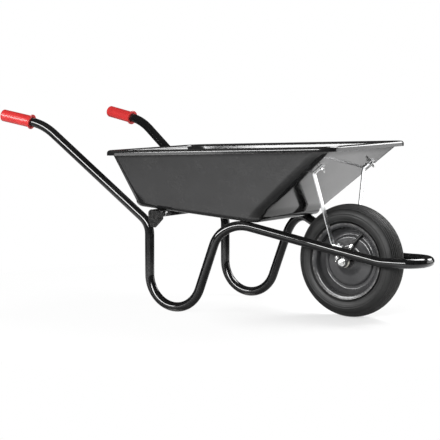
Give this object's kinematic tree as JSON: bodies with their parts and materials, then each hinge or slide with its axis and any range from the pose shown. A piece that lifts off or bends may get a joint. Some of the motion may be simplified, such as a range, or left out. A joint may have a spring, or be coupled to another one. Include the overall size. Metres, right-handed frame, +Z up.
{
  "type": "wheelbarrow",
  "caption": "Single-wheel barrow with a bent tube frame, U-shaped feet, pressed steel tray and air-filled wheel that turns freely.",
  "frame": {"origin": "middle of the outer box's bottom face, on the ground between the grips and the nose", "axes": "+X forwards from the grips to the wheel, +Y to the left of a person pushing, +Z up"},
  "size_m": [1.5516, 0.6678, 0.6808],
  "materials": {
    "frame_paint": "black gloss paint on bent steel tube",
    "tray_paint": "dark grey gloss paint on pressed sheet steel",
    "rim_paint": "dark grey satin paint on pressed steel",
    "galvanised": "bright galvanised flat bar",
    "zinc": "bright zinc plated fasteners",
    "grip": "red soft plastic",
    "tyre": "black rubber with ribs round the tread",
    "inner_tube": "black butyl rubber",
    "nylon": "off-white nylon"
  },
  "bodies": {
    "frame": {"frame_tube": "frame_paint", "grip_right": "grip", "grip_left": "grip", "stay_right": "galvanised", "stay_left": "galvanised", "axle_bracket_right": "frame_paint", "axle_bracket_left": "frame_paint", "rear_brace": "frame_paint", "axle": "zinc", "axle_spacer_right": "zinc", "axle_washer_right": "zinc", "axle_nut_right": "zinc", "axle_spacer_left": "zinc", "axle_washer_left": "zinc", "axle_nut_left": "zinc", "tray": "tray_paint", "brace_right_bolt": "zinc", "brace_right_washer": "zinc", "brace_right_nut": "zinc", "stay_top_right_bolt": "zinc", "stay_top_right_washer": "zinc", "stay_top_right_nut": "zinc", "stay_foot_right_bolt": "zinc", "stay_foot_right_washer": "zinc", "stay_foot_right_nut": "zinc", "brace_left_bolt": "zinc", "brace_left_washer": "zinc", "brace_left_nut": "zinc", "stay_top_left_bolt": "zinc", "stay_top_left_washer": "zinc", "stay_top_left_nut": "zinc", "stay_foot_left_bolt": "zinc", "stay_foot_left_washer": "zinc", "stay_foot_left_nut": "zinc"},
    "wheel": {"tyre": "tyre", "rim_left": "rim_paint", "rim_right": "rim_paint", "inner_tube": "inner_tube", "hub": "rim_paint", "bearing_right": "nylon", "bearing_left": "nylon", "valve_stem": "inner_tube", "valve_cap": "zinc"}
  },
  "joints": [
    {"name": "wheel_spin", "type": "hinge", "parent": "frame", "child": "wheel", "pos_m": [0.48078, 0, 0.19], "axis": [0, 1, 0], "continuous": true}
  ]
}
